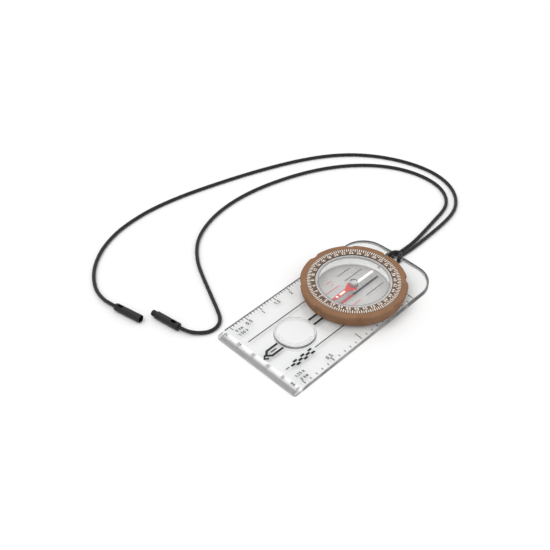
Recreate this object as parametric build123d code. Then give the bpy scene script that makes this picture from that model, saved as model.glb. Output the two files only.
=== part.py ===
"""Baseplate compass on a lanyard, millimetres, one STEP file per piece.

The origin is the dial's rotation axis at the underside of the baseplate.
+Y is the direction of travel, +X is to the right of it, +Z is up.
"""
from build123d import *
import math
import os

INK = 0.04               # thickness of printed film
CLEAR = 2.0              # extra length of cutters that run out of the plate

# baseplate
PLATE_HALF_W = 26.8      # half the width across the two straight edges
PLATE_FRONT = 71.3       # front edge, Y
PLATE_REAR = -38.7       # crown of the slightly convex rear edge, Y
REAR_CROWN = 1.1         # rise of that edge
PLATE_T = 2.5
REAR_CORNER_R = 14.0
FRONT_CORNER_R = 1.5
EDGE_BREAK = 0.25
BEVEL_Y = 64.0           # where the front ruler bevel starts
BEVEL_EDGE_Z = 0.9       # thickness left at the front edge
BEVEL_SLOPE = (PLATE_T - BEVEL_EDGE_Z) / (PLATE_FRONT - BEVEL_Y)
BEVEL_ANGLE = math.atan(BEVEL_SLOPE)
SEAT_R = 21.97           # hole the dial's skirt turns in
COUNTERBORE_R = 23.30    # recess under the plate for the retaining ring
COUNTERBORE_D = 0.82

# moulded magnifier
LENS_Y = 43.4
LENS_R = 9.75
LENS_FOOT_Z = PLATE_T - 0.2
LENS_Z = 3.80            # top of the lens wall, where the dome starts
LENS_H = 0.9
LENS_RIM_IN_R = LENS_R - 0.3
LENS_RIM_R = 10.55

# lanyard slot, and the bar behind it that the cord is hitched on
SLOT_X = 1.5
SLOT_L = 9.6
SLOT_CORNER_R = 1.2
SLOT_Y0, SLOT_Y1 = -36.1, -32.6
BAR_Z = 1.3              # underside of the bar, relieved to clear the cord

# dial
DIAL_TOP = 9.65
DIAL_UNDER_Z = PLATE_T + 0.05
SKIRT_Z = 0.75           # foot of the skirt, on the retaining ring
SKIRT_R = SEAT_R - 0.07
RING_IN_R = 21.02        # bore that holds the capsule
FACE_IN_R = 20.05
GROOVE_IN_R, GROOVE_OUT_R, GROOVE_TOP = 22.60, 23.40, 8.30
RING_OUT_R = 24.40
GRIP_FOOT_R = 26.75      # round at the bottom; the pads only stand out above it
GRIP_ROOT_R = 27.20
GRIP_PAD_R = 27.9
GRIP_Z0, GRIP_Z1 = 2.95, 9.70
PADS = 8
PAD_FIRST_DEG = 23.5
PAD_HALF_DEG = 15.5
PAD_FLANK_DEG = 2.0
PAD_STEPS = 10           # straight facets along one pad
TICKS = 128              # 6400 mils, one tick per 50 mils
TICK_OUT_R = 24.2
LABELS = 32              # one number per 200 mils
LABEL_R = 21.15

# capsule
CUP_OUT_R = 21.00
CUP_IN_R = 20.30
CUP_Z0, FLOOR_Z, CUP_TOP = 1.30, 2.40, 8.20
LID_Z, LID_TOP = 8.60, 9.35
LID_FACE_R = FACE_IN_R - 0.1
PLUG_Z, PLUG_R = 5.0, 0.9

# lines printed on the capsule floor
LINE_R = 17.2            # circle the lines end on
MERIDIAN_X = 7.5
OUTER_LINE_X = 12.5
ORIENTING_X, ORIENTING_W = 2.4, 1.2
SOUTH_LINE_W, NORTH_LINE_W = 0.45, 0.40

# needle
PIN_R = 0.34
TIP_Z = 6.55             # pivot point
BLADE_Z = 5.25           # underside of the magnet strip
BLADE_T, BLADE_W = 0.35, 1.2
COVER_Z = BLADE_Z + BLADE_T
COVER_T = 0.30
COVER_TOP = COVER_Z + COVER_T
NEEDLE_N, NEEDLE_S = 14.5, 15.4     # lengths of the north and south ends
NEEDLE_W, NEEDLE_W_S = 2.2, 1.7
SOUTH_COVER_Y = -1.4     # inner end of the south cover
LUME_T = 0.06            # thickness of the luminous paint
HUB_TOP = 8.35
JEWEL_R, JEWEL_TOP = 0.60, 7.23
HUB_BORE_R, HUB_BORE_TOP = 0.62, 7.25

# cord and its breakaway connector
CORD_R = 1.00
KNOT_R = 1.38
HITCH_R = 0.95           # cord radius in the hitch
HITCH_X0, HITCH_X1 = -1.75, 3.75    # where the hitch rises through the slot
TUBE_R = 2.10
TUBE_MOUTH_R = 1.06      # hole the cord enters by
SOCKET_L = 17.0
PLUG_L = 14.9
NOSE_L = 2.9
NOSE_R = 1.65

# Centre lines (x, y, z) of the two strands, from the hitch to inside each connector half.
# The last point but one is where the cord enters the connector.
STRAND_A = [
    (0.45, -40.60, 1.02), (0.12, -44.00, 1.02), (-0.11, -48.40, 1.02), (-0.17, -53.35, 1.02),
    (0.19, -64.34, 1.02), (1.12, -79.81, 1.02), (4.54, -94.87, 1.02), (14.06, -106.87, 1.02),
    (28.02, -113.34, 1.02), (43.43, -113.80, 1.02), (58.39, -109.86, 1.02), (72.19, -102.87, 1.02),
    (84.26, -93.19, 1.02), (94.07, -81.22, 1.02), (101.79, -67.79, 1.02), (108.05, -53.62, 1.02),
    (113.44, -39.09, 1.02), (118.16, -24.32, 1.02), (122.36, -9.41, 1.02), (126.03, 5.65, 1.02),
    (128.63, 20.93, 1.02), (129.47, 36.39, 1.02), (127.88, 51.79, 1.02), (125.79, 59.79, 1.02),
    (122.89, 67.08, 1.02), (119.04, 73.93, 1.02), (114.28, 80.16, 1.02), (108.65, 85.64, 1.02),
    (102.21, 90.11, 1.02), (95.04, 93.27, 1.10), (87.34, 94.62, 1.72), (83.85, 94.51, 1.98),
    (80.87, 94.14, 2.08), (78.90, 93.80, 2.10), (75.96, 93.20, 2.10),
]
STRAND_B = [
    (2.70, -40.60, 1.02), (2.58, -44.00, 1.02), (2.50, -48.40, 1.02), (2.61, -53.35, 1.02),
    (3.96, -64.26, 1.02), (6.45, -79.56, 1.02), (10.51, -94.47, 1.02), (21.89, -104.44, 1.02),
    (37.12, -106.64, 1.02), (52.13, -103.10, 1.02), (65.41, -95.20, 1.02), (76.43, -84.34, 1.02),
    (85.14, -71.54, 1.02), (91.70, -57.51, 1.02), (96.49, -42.78, 1.02), (99.71, -27.63, 1.02),
    (100.92, -12.19, 1.02), (99.57, 3.23, 1.02), (95.13, 18.05, 1.02), (87.00, 31.17, 1.02),
    (75.17, 41.09, 1.02), (67.79, 45.26, 1.02), (60.74, 48.73, 1.02), (53.64, 52.10, 1.02),
    (46.54, 55.46, 1.02), (39.48, 58.90, 1.02), (33.22, 63.55, 1.02), (32.05, 71.01, 1.02),
    (36.54, 77.32, 1.48), (39.41, 79.25, 1.91), (42.24, 80.21, 2.07), (44.20, 80.60, 2.10),
    (47.17, 81.04, 2.10),
]
NECK_POINTS = 4          # points of each list that belong to the hitch
NECK_GAP = 0.05          # between the end of a neck and its strand
NECK_DIR_A = (0.010, -0.99995, 0.0)      # cord direction at the end of each neck
NECK_DIR_B = (0.090, -0.99594, 0.0)
SOCKET_DIR = (-0.9798, -0.2000, 0.0)     # from the cord end towards the open end
PLUG_DIR = (0.9890, 0.1480, 0.0)         # from the cord end towards the nose


# --- shared shapes -------------------------------------------------------------

def bundle(solids):
    """One piece made of several separate solids."""
    return Compound(children=list(solids))


def ring(outline):
    """Solid of revolution about the dial axis from a closed (radius, height) outline."""
    return revolve(make_face(Polyline(*[(r, 0, z) for r, z in outline], close=True)), Axis.Z)


def polar(radius, degrees):
    return radius * math.cos(math.radians(degrees)), radius * math.sin(math.radians(degrees))


def film_box(x0, x1, y0, y1, z):
    """Rectangle of ink lying on height z."""
    size = Box(abs(x1 - x0), abs(y1 - y0), INK)
    return Pos((x0 + x1) / 2, (y0 + y1) / 2, z + INK / 2) * size


def line(x, width, y0, y1, z):
    """Inked line parallel to Y, centred on x."""
    return film_box(x - width / 2, x + width / 2, y0, y1, z)


# --- stroke lettering ------------------------------------------------------------

def arc(cx, cy, rx, ry, start, end, steps):
    """Points along an elliptical arc, angles in degrees."""
    angles = [math.radians(start + (end - start) * i / steps) for i in range(steps + 1)]
    return [(cx + rx * math.cos(a), cy + ry * math.sin(a)) for a in angles]


# Each glyph is a list of (points, closed) strokes in a box 0.6 wide and 1 high.
GLYPHS = {
    "0": [(arc(0.3, 0.5, 0.23, 0.43, 0, 360, 14)[:-1], True)],
    "1": [([(0.14, 0.76), (0.37, 0.93), (0.37, 0.0)], False)],
    "2": [(arc(0.29, 0.70, 0.22, 0.23, 165, -40, 8) + [(0.07, 0.07), (0.57, 0.07)], False)],
    "3": [([(0.08, 0.93), (0.50, 0.93), (0.24, 0.52)], False),
          (arc(0.27, 0.33, 0.25, 0.26, 100, -150, 9), False)],
    "4": [([(0.42, 0.98), (0.07, 0.28), (0.60, 0.28)], False),
          ([(0.43, 0.60), (0.43, 0.0)], False)],
    "5": [([(0.53, 0.93), (0.15, 0.93), (0.12, 0.54)]
           + arc(0.28, 0.33, 0.24, 0.26, 105, -150, 9), False)],
    "6": [(arc(0.30, 0.31, 0.22, 0.24, 0, 360, 12)[:-1], True),
          ([(0.46, 0.95), (0.26, 0.78), (0.10, 0.50), (0.08, 0.31)], False)],
    "8": [(arc(0.30, 0.30, 0.23, 0.23, 0, 360, 12)[:-1], True),
          (arc(0.30, 0.72, 0.19, 0.20, 0, 360, 12)[:-1], True)],
    ".": [([(0.30, 0.0), (0.30, 0.16)], False)],
    ":": [([(0.30, 0.10), (0.30, 0.26)], False), ([(0.30, 0.54), (0.30, 0.70)], False)],
    "k": [([(0.12, 0.0), (0.12, 1.0)], False), ([(0.50, 0.68), (0.15, 0.33)], False),
          ([(0.24, 0.40), (0.54, 0.0)], False)],
    "m": [([(0.07, 0.0), (0.07, 0.66)], False),
          ([(0.07, 0.50), (0.20, 0.64), (0.34, 0.50), (0.34, 0.0)], False),
          ([(0.34, 0.50), (0.48, 0.64), (0.61, 0.50), (0.61, 0.0)], False)],
    " ": [],
}
# all as fractions of the letter height
ADVANCE = {"1": 0.58, ".": 0.36, ":": 0.40, "m": 0.86, " ": 0.35}
STROKE_W = 0.18
DOT_W = STROKE_W * 1.25


def offset_side(points, distance, closed):
    """The polyline moved to its left by the distance, with mitred corners."""
    moved = []
    last = len(points) - 1
    for i, (x, y) in enumerate(points):
        segments = []
        if closed or i > 0:
            segments.append((points[i - 1], (x, y)))
        if closed or i < last:
            segments.append(((x, y), points[(i + 1) % len(points)]))
        normals = []
        for (ax, ay), (bx, by) in segments:
            length = math.hypot(bx - ax, by - ay)
            normals.append(((ay - by) / length, (bx - ax) / length))
        nx = sum(normal[0] for normal in normals) / len(normals)
        ny = sum(normal[1] for normal in normals) / len(normals)
        shrink = max(nx * nx + ny * ny, 0.25)    # limits the mitre at sharp corners
        moved.append((x + distance * nx / shrink, y + distance * ny / shrink))
    return moved


def stroke(points, width, closed=False):
    left = offset_side(points, width / 2, closed)
    right = offset_side(points, -width / 2, closed)
    if closed:
        return make_face(Polyline(*right, close=True)) - make_face(Polyline(*left, close=True))
    return make_face(Polyline(*(left + right[::-1]), close=True))


def printed(faces, place):
    """Films of ink standing on the XY plane of a location."""
    films = []
    for face in faces:
        film = extrude(face, amount=INK)
        # a face whose normal points down extrudes downwards
        if film.bounding_box().min.Z < -1e-6:
            film = Pos(0, 0, INK) * film
        films.append(place * film)
    return films


def text(string, height, place, track=0.76):
    """Printed text centred on a location, reading along its X."""
    steps = [ADVANCE.get(char, track) * height for char in string]
    x = -sum(steps) / 2
    faces = []
    for char, step in zip(string, steps):
        box_w = 0.68 if char == "m" else 0.6
        x0 = x + (step - box_w * height) / 2
        width = height * (DOT_W if char in ".:" else STROKE_W)
        parts = [
            stroke([(x0 + px * height, (py - 0.5) * height) for px, py in points], width, closed)
            for points, closed in GLYPHS[char]
        ]
        if char not in ": ":
            # strokes of a letter touch, so they fuse
            letter = parts[0]
            for part in parts[1:]:
                letter = letter + part
            parts = [letter]
        for part in parts:
            faces.extend(part.faces())
        x += step
    return printed(faces, place)


# --- baseplate -------------------------------------------------------------------

def plate_blank():
    corner_y = PLATE_REAR + REAR_CROWN
    sides = Polyline(
        (PLATE_HALF_W, corner_y), (PLATE_HALF_W, PLATE_FRONT),
        (-PLATE_HALF_W, PLATE_FRONT), (-PLATE_HALF_W, corner_y),
    )
    rear = ThreePointArc((-PLATE_HALF_W, corner_y), (0, PLATE_REAR), (PLATE_HALF_W, corner_y))
    plate = extrude(make_face(sides + rear), amount=PLATE_T)
    upright = plate.edges().filter_by(Axis.Z)
    plate = fillet(upright.filter_by(lambda e: e.center().Y < 0), REAR_CORNER_R)
    upright = plate.edges().filter_by(Axis.Z)
    return fillet(upright.filter_by(lambda e: e.center().Y > 60), FRONT_CORNER_R)


def bevel_cutter():
    outline = Polyline(
        (0, BEVEL_Y, PLATE_T), (0, PLATE_FRONT + 1, PLATE_T + 0.6),
        (0, PLATE_FRONT + 1, BEVEL_EDGE_Z - BEVEL_SLOPE), (0, PLATE_FRONT, BEVEL_EDGE_Z),
        close=True,
    )
    return extrude(make_face(outline), amount=PLATE_HALF_W + CLEAR, both=True)


def lens_dome():
    sphere_r = (LENS_R ** 2 + LENS_H ** 2) / (2 * LENS_H)
    wall_h = 3.0         # taller than the rim of the dome
    return (Pos(0, LENS_Y, LENS_Z + LENS_H - sphere_r) * Sphere(sphere_r)) & (
        Pos(0, LENS_Y, LENS_FOOT_Z + wall_h / 2) * Cylinder(LENS_R, wall_h)
    )


def lens_rim():
    return Pos(0, LENS_Y, 0) * ring([
        (LENS_RIM_IN_R, LENS_FOOT_Z), (LENS_RIM_R, LENS_FOOT_Z), (LENS_RIM_R, PLATE_T + 0.2),
        (LENS_RIM_R - 0.18, LENS_Z - 0.2), (LENS_RIM_R - 0.38, LENS_Z), (LENS_RIM_IN_R, LENS_Z),
    ])


def baseplate():
    plate = plate_blank() - bevel_cutter()
    # small break on the top side edges and the rear edge
    rim = plate.edges().filter_by(
        lambda e: abs(e.center().Z - PLATE_T) < 1e-6 and e.center().Y < BEVEL_Y - 1
    )
    plate = chamfer(rim, EDGE_BREAK)
    plate = plate + lens_dome() + lens_rim()
    # dial seat
    plate = plate - Pos(0, 0, PLATE_T / 2) * Cylinder(SEAT_R, PLATE_T + CLEAR)
    plate = plate - Pos(0, 0, (COUNTERBORE_D - CLEAR) / 2) * Cylinder(
        COUNTERBORE_R, COUNTERBORE_D + CLEAR)
    # lanyard slot, and relief under the bar
    slot = RectangleRounded(SLOT_L, SLOT_Y1 - SLOT_Y0, SLOT_CORNER_R)
    slot = extrude(Pos(SLOT_X, (SLOT_Y0 + SLOT_Y1) / 2) * slot, amount=PLATE_T + CLEAR)
    plate = plate - Pos(0, 0, -CLEAR / 2) * slot
    relief = Box(SLOT_L - 0.4, 6.8, BAR_Z + CLEAR)
    return plate - Pos(SLOT_X, SLOT_Y0 - 2.6, (BAR_Z - CLEAR) / 2) * relief


# --- printing on the baseplate -----------------------------------------------------

SCALE_X = 25.9           # outer end of the side scale ticks, either side

# side scale labels: text, height, x, y
LABELS_50K = [
    ("0.5", 2.1, 21.7, 54.0), ("1", 2.1, 21.7, 44.0), ("1.5", 2.1, 21.7, 34.0),
    ("2", 2.1, 21.7, 24.0), ("0 km", 1.7, 21.7, 60.7), ("1:50 k", 1.7, 18.6, 60.7),
]
LABELS_25K = [
    ("0.5", 2.1, -22.3, 43.0), ("1", 2.1, -22.3, 23.0), ("2", 2.1, -22.3, -17.0),
    ("0 km", 1.7, -22.6, 60.6), ("1:25 k", 1.7, -19.6, 60.6),
]
# ruler labels: text, x
RULER_LABELS = [
    ("0", -25.0), ("10", -15.3), ("20", -5.3), ("30", 4.7), ("40", 14.7), ("50", 24.2),
    ("mm", -21.4),
]


def side_scale(side, first_y, pitch, count, tick_w, labels):
    """Ticks and labels along one straight edge; side is 1 for right, -1 for left."""
    films = []
    for i in range(count):
        y = first_y - pitch * i
        # every fifth tick is long, except beside the dial
        length = 2.6 if i % 5 == 0 and abs(y) > 12 else 1.2
        outer = side * SCALE_X
        films.append(film_box(outer, outer - side * length, y - tick_w / 2, y + tick_w / 2, PLATE_T))
    for string, height, x, y in labels:
        # reads towards the rear, with its top towards +X
        films += text(string, height, Pos(x, y, PLATE_T) * Rot(0, 0, -90))
    return bundle(films)


def scale_50k_print():
    return side_scale(1, first_y=63.2, pitch=2.0, count=41, tick_w=0.40, labels=LABELS_50K)


def scale_25k_print():
    return side_scale(-1, first_y=63.0, pitch=4.0, count=21, tick_w=0.44, labels=LABELS_25K)


def on_bevel(x, y):
    """Location on the front bevel, its Z along the bevel's normal."""
    z = BEVEL_EDGE_Z + (PLATE_FRONT - y) * BEVEL_SLOPE
    return Pos(x, y, z) * Rot(-math.degrees(BEVEL_ANGLE), 0, 0)


def ruler_print():
    """Millimetre ruler on the front bevel."""
    films = []
    for i in range(51):
        length = 2.8 if i % 10 == 0 else (2.6 if i % 5 == 0 else 2.1)
        length = length / math.cos(BEVEL_ANGLE)
        tick = Pos(0, -length / 2, INK / 2) * Box(0.34, length, INK)
        films.append(on_bevel(-25.3 + i, PLATE_FRONT - 0.2) * tick)
    for string, x in RULER_LABELS:
        films += text(string, 1.6, on_bevel(x, 67.3))
    return bundle(films)


def direction_arrow_print():
    """Two rails behind the magnifier, then a nose, a centre line and a chevron ahead of it."""
    arrow_x, rail_x, rail_w = -0.52, 1.98, 1.2
    films = [line(arrow_x + s * rail_x, rail_w, 22.6, 32.55, PLATE_T) for s in (-1, 1)]
    nose = stroke(
        [(-rail_x, 54.2), (-rail_x, 61.6), (0, 63.9), (rail_x, 61.6), (rail_x, 54.2)], rail_w)
    films += printed(nose.faces(), Pos(arrow_x, 0, PLATE_T))
    films.append(line(arrow_x, 0.6, 57.0, 60.7, PLATE_T))
    chevron = stroke([(-1.55, 0.0), (0, 1.6), (1.55, 0.0)], 0.85)
    films += printed(chevron.faces(), on_bevel(-1.2, 64.15))
    return bundle(films)


def guide_line_print():
    """Fine lines parallel to the direction of travel, with a chequered bar in the left one."""
    left_x, right_x, width = -13.40, 12.15, 0.54
    films = [
        line(right_x, width, 20.6, 63.6, PLATE_T),
        line(left_x, width, 20.6, 43.4, PLATE_T),
        line(left_x, width, 61.2, 63.6, PLATE_T),
    ]
    pitch_x, pitch_y, gap = 1.22, 2.5, 0.04
    for row in range(6):
        for column in range(3):
            if (row + column) % 2 == 0:
                x = -15.55 + pitch_x * column
                y = 45.2 + pitch_y * row
                films.append(film_box(x, x + pitch_x - gap, y, y + pitch_y - gap, PLATE_T))
    return bundle(films)


# --- dial --------------------------------------------------------------------------

def dial_ring():
    return ring([
        (RING_IN_R, SKIRT_Z), (SKIRT_R, SKIRT_Z), (SKIRT_R, DIAL_UNDER_Z),
        (GROOVE_IN_R, DIAL_UNDER_Z), (GROOVE_IN_R, GROOVE_TOP),
        (GROOVE_OUT_R, GROOVE_TOP), (GROOVE_OUT_R, DIAL_UNDER_Z),
        (RING_OUT_R, DIAL_UNDER_Z), (RING_OUT_R, DIAL_TOP), (FACE_IN_R + 0.15, DIAL_TOP),
        (FACE_IN_R, DIAL_TOP - 0.15), (FACE_IN_R, 9.05), (RING_IN_R, 9.05),
    ])


def dial_grip():
    pad_step = 360.0 / PADS
    edge = []
    for k in range(PADS):
        centre = PAD_FIRST_DEG + k * pad_step
        start, end = centre - PAD_HALF_DEG, centre + PAD_HALF_DEG
        valley = centre + pad_step / 2
        edge.append(polar(GRIP_ROOT_R, start - PAD_FLANK_DEG))
        edge += [polar(GRIP_PAD_R, start + PAD_HALF_DEG * 2 * i / PAD_STEPS)
                 for i in range(PAD_STEPS + 1)]
        edge += [polar(GRIP_ROOT_R, a)
                 for a in (end + PAD_FLANK_DEG, valley - 3.0, valley, valley + 3.0)]
    grip = extrude(make_face(Polyline(*edge, close=True)), amount=GRIP_Z1 - GRIP_Z0)
    envelope = ring([
        (0, GRIP_Z0 - 1), (GRIP_FOOT_R - 0.3, GRIP_Z0 - 1), (GRIP_FOOT_R - 0.3, GRIP_Z0),
        (GRIP_FOOT_R, GRIP_Z0 + 0.3), (28.0, 8.2), (28.0, 8.5), (27.5, 9.3),
        (26.5, GRIP_Z1), (0, GRIP_Z1),
    ])
    grip = (Pos(0, 0, GRIP_Z0) * grip) & envelope
    return grip - Pos(0, 0, 6) * Cylinder(RING_OUT_R + 0.02, 12)


def dial_graduations():
    ticks = []
    for i in range(TICKS):
        length, width = (2.05, 0.42) if i % 2 == 0 else (1.55, 0.36)
        turn = Rot(0, 0, 90.0 - i * 360.0 / TICKS)
        place = Pos(TICK_OUT_R - length / 2, 0, DIAL_TOP + INK / 2)
        ticks.append(turn * place * Box(length, width, INK))
    return bundle(ticks)


def dial_numbers():
    """Hundreds of mils, clockwise from +Y."""
    films = []
    for k in range(LABELS):
        place = Rot(0, 0, -k * 360.0 / LABELS) * Pos(0, LABEL_R, DIAL_TOP)
        films += text(str(2 * k), 1.62, place, track=0.82)
    return bundle(films)


def retaining_ring():
    """Ring snapped on the skirt from below, which holds the dial in the plate."""
    return ring([
        (20.40, 0.20), (23.20, 0.20), (23.20, SKIRT_Z), (21.00, SKIRT_Z),
        (21.00, 1.29), (20.40, 1.29),
    ])


# --- capsule -----------------------------------------------------------------------

def capsule_cup():
    boss_top = FLOOR_Z + 0.5
    cup = ring([
        (0, CUP_Z0), (CUP_OUT_R - 0.3, CUP_Z0), (CUP_OUT_R, CUP_Z0 + 0.3),
        (CUP_OUT_R, CUP_TOP), (CUP_IN_R, CUP_TOP), (CUP_IN_R, FLOOR_Z + 1.3),
        (CUP_IN_R - 0.4, FLOOR_Z + 0.4), (CUP_IN_R - 1.3, FLOOR_Z),
        (1.3, FLOOR_Z), (1.1, boss_top), (0, boss_top),
    ])
    # blind hole for the pivot pin, then the fill hole in the rear wall
    cup = cup - Pos(0, 0, boss_top - 0.5) * Cylinder(PIN_R + 0.01, 1.0)
    return cup - Pos(0, -CUP_OUT_R, PLUG_Z) * Rot(90, 0, 0) * Cylinder(PLUG_R, 4)


def capsule_lid():
    return ring([
        (0, LID_Z), (19.50, LID_Z), (19.50, 6.90), (20.25, 6.90), (20.25, CUP_TOP),
        (CUP_OUT_R, CUP_TOP), (CUP_OUT_R, 9.0), (LID_FACE_R, 9.0), (LID_FACE_R, LID_TOP - 0.2),
        (LID_FACE_R - 0.25, LID_TOP), (0, LID_TOP),
    ])


def fill_plug():
    plug = Cylinder(PLUG_R, CUP_OUT_R - CUP_IN_R - 0.12)
    return Pos(0, -(CUP_IN_R + CUP_OUT_R) / 2, PLUG_Z) * Rot(90, 0, 0) * plug


def line_end(x):
    """Distance along Y at which a floor line at x meets the end circle."""
    return math.sqrt(LINE_R * LINE_R - x * x)


def meridian_lines_south():
    return bundle(line(x, SOUTH_LINE_W, -line_end(x), -1.8, FLOOR_Z)
                  for x in (-MERIDIAN_X, MERIDIAN_X, OUTER_LINE_X))


def meridian_lines_north():
    films = [line(x, NORTH_LINE_W, 2.7, line_end(x), FLOOR_Z) for x in (-MERIDIAN_X, MERIDIAN_X)]
    films.append(line(OUTER_LINE_X, NORTH_LINE_W, 3.0, 7.4, FLOOR_Z))
    films.append(line(10.2, NORTH_LINE_W, 4.0, 6.0, FLOOR_Z))
    return bundle(films)


def orienting_lines_south():
    return bundle(line(x, ORIENTING_W, -line_end(x), 2.7, FLOOR_Z)
                  for x in (-ORIENTING_X, ORIENTING_X))


def orienting_lines_north():
    return bundle(line(x, ORIENTING_W, 2.75, line_end(x), FLOOR_Z)
                  for x in (-ORIENTING_X, ORIENTING_X))


# --- pivot and needle ----------------------------------------------------------------

def pivot_pin():
    return ring([(0, 1.92), (PIN_R, 1.92), (PIN_R, 5.6), (0.05, TIP_Z), (0, TIP_Z)])


def needle_magnet():
    mid_z = BLADE_Z + BLADE_T / 2
    strip = Box(BLADE_W, NEEDLE_N + NEEDLE_S - 1.4, BLADE_T)
    blade = Pos(0, (NEEDLE_N - NEEDLE_S) / 2, mid_z) * strip
    blade = blade + Pos(0, 0, mid_z) * Cylinder(1.9, BLADE_T)
    return blade - Pos(0, 0, BLADE_Z) * Cylinder(1.0, 4)


def needle_cover_north():
    """Strip with clipped corners at its tip, flaring to a wide foot at the hub."""
    half_w, foot, clip = NEEDLE_W / 2, 3.3, 0.5
    cover = make_face(Polyline(
        (-foot, 0.6), (foot, 0.6), (foot, 1.1), (half_w, 5.4), (half_w, NEEDLE_N - clip),
        (half_w - clip, NEEDLE_N), (-half_w + clip, NEEDLE_N), (-half_w, NEEDLE_N - clip),
        (-half_w, 5.4), (-foot, 1.1), close=True))
    cover = Pos(0, 0, COVER_Z) * extrude(cover, amount=COVER_T)
    return cover - Pos(0, 0, COVER_Z) * Cylinder(1.32, 3)


def needle_cover_south():
    """Strip with a round tip."""
    half_w = NEEDLE_W_S / 2
    tip_y = half_w - NEEDLE_S
    mid_z = COVER_Z + COVER_T / 2
    strip = Box(NEEDLE_W_S, SOUTH_COVER_Y - tip_y, COVER_T)
    cover = Pos(0, (tip_y + SOUTH_COVER_Y) / 2, mid_z) * strip
    return cover + Pos(0, tip_y, mid_z) * Cylinder(half_w, COVER_T)


def needle_luminous_marks():
    mid_z = COVER_TOP + LUME_T / 2
    return bundle([
        Pos(0, 8.6, mid_z) * Box(1.25, 3.9, LUME_T),
        Pos(0, 12.7, mid_z) * Cylinder(0.75, LUME_T),
    ])


def needle_hub():
    return ring([
        (HUB_BORE_R, COVER_Z), (1.30, COVER_Z), (1.30, COVER_TOP), (2.50, COVER_TOP),
        (2.50, COVER_TOP + 0.30), (2.20, COVER_TOP + 0.45), (2.15, HUB_TOP - 0.2),
        (1.95, HUB_TOP), (0, HUB_TOP), (0, HUB_BORE_TOP), (HUB_BORE_R, HUB_BORE_TOP),
    ])


def jewel_bearing():
    foot_z = TIP_Z - 0.25
    return ring([
        (0, TIP_Z + 0.04), (0.35, foot_z), (JEWEL_R, foot_z), (JEWEL_R, JEWEL_TOP), (0, JEWEL_TOP),
    ])


# --- lanyard -------------------------------------------------------------------------

# centre line (x, y, z) of the loop: up through the slot, back over the bar, and down again
HITCH_LOOP = [
    (HITCH_X0, -34.95, 0.60), (HITCH_X0, -34.95, 1.60), (HITCH_X0, -34.95, 2.50),
    (HITCH_X0 + 0.02, -35.29, 3.31), (HITCH_X0 + 0.08, -36.10, 3.65),
    (-1.28, -37.45, 3.65), (-0.40, -38.72, 3.65), (1.05, -39.35, 3.65),
    (2.50, -38.80, 3.65), (3.38, -37.45, 3.65),
    (HITCH_X1 - 0.08, -36.10, 3.65), (HITCH_X1 - 0.02, -35.29, 3.31),
    (HITCH_X1, -34.95, 2.50), (HITCH_X1, -34.95, 1.60), (HITCH_X1, -34.95, 0.60),
]


def sweep_cord(points, start_dir, end_dir, radius=CORD_R):
    path = Spline(*points, tangents=[start_dir, end_dir])
    start = Plane(origin=path @ 0, z_dir=path % 0)
    return sweep(start * Circle(radius), path=path)


def hitch_strap(slot_x, neck_x):
    """Flat cord end passing under the bar, from the slot to the start of a neck."""
    outline = [
        (slot_x - HITCH_R, -34.05), (slot_x + HITCH_R, -34.05), (slot_x + HITCH_R, -36.0),
        (neck_x + HITCH_R, -40.0), (neck_x + HITCH_R, -41.2), (neck_x - HITCH_R, -41.2),
        (neck_x - HITCH_R, -40.0), (slot_x - HITCH_R, -36.0),
    ]
    return Pos(0, 0, 0.06) * extrude(make_face(Polyline(*outline, close=True)), amount=1.16)


def lanyard_hitch():
    hitch = sweep_cord(HITCH_LOOP, (0, 0, 1), (0, 0, -1), HITCH_R)
    for slot_x, points in ((HITCH_X0, STRAND_A), (HITCH_X1, STRAND_B)):
        hitch = hitch + hitch_strap(slot_x, points[0][0])
    for points, neck_dir in ((STRAND_A, NECK_DIR_A), (STRAND_B, NECK_DIR_B)):
        hitch = hitch + sweep_cord(points[:NECK_POINTS], (0, -1, 0), neck_dir)
    return hitch


def turned_to(direction):
    """Rotation about Z that brings X onto the direction."""
    return Rot(0, 0, math.degrees(math.atan2(direction[1], direction[0])))


def strand(points, neck_dir, end_dir):
    """One strand from the end of its neck, with the knot that holds it in the connector."""
    first = tuple(p + NECK_GAP * d for p, d in zip(points[NECK_POINTS - 1], neck_dir))
    body = sweep_cord([first] + points[NECK_POINTS:], neck_dir, end_dir)
    knot = Sphere(KNOT_R) - Rot(0, 90, 0) * Cylinder(CORD_R + 0.02, 4)
    knot = Pos(*points[-1]) * turned_to(end_dir) * Pos(-0.7, 0, 0) * knot
    return bundle([body.solid(), knot.solid()])


def lanyard_strand_socket_side():
    return strand(STRAND_A, NECK_DIR_A, SOCKET_DIR)


def lanyard_strand_plug_side():
    return strand(STRAND_B, NECK_DIR_B, PLUG_DIR)


def connector_half(outline, points, direction):
    """Tube from a closed (distance, radius) outline, with a slotted window, on its strand."""
    tube = revolve(make_face(Polyline(*[(x, y, 0) for x, y in outline], close=True)), Axis.X)
    tube = tube - extrude(Pos(3.6, 0) * SlotOverall(3.2, 1.5), amount=4)
    return Pos(*points[-2]) * turned_to(direction) * tube


def connector_socket():
    bore_r = 1.72
    return connector_half([
        (0, TUBE_MOUTH_R), (0, 1.60), (0.6, 1.80), (1.2, TUBE_R), (SOCKET_L - 0.25, TUBE_R),
        (SOCKET_L, TUBE_R - 0.25), (SOCKET_L, bore_r), (1.4, bore_r), (1.4, TUBE_MOUTH_R),
    ], STRAND_A, SOCKET_DIR)


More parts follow.
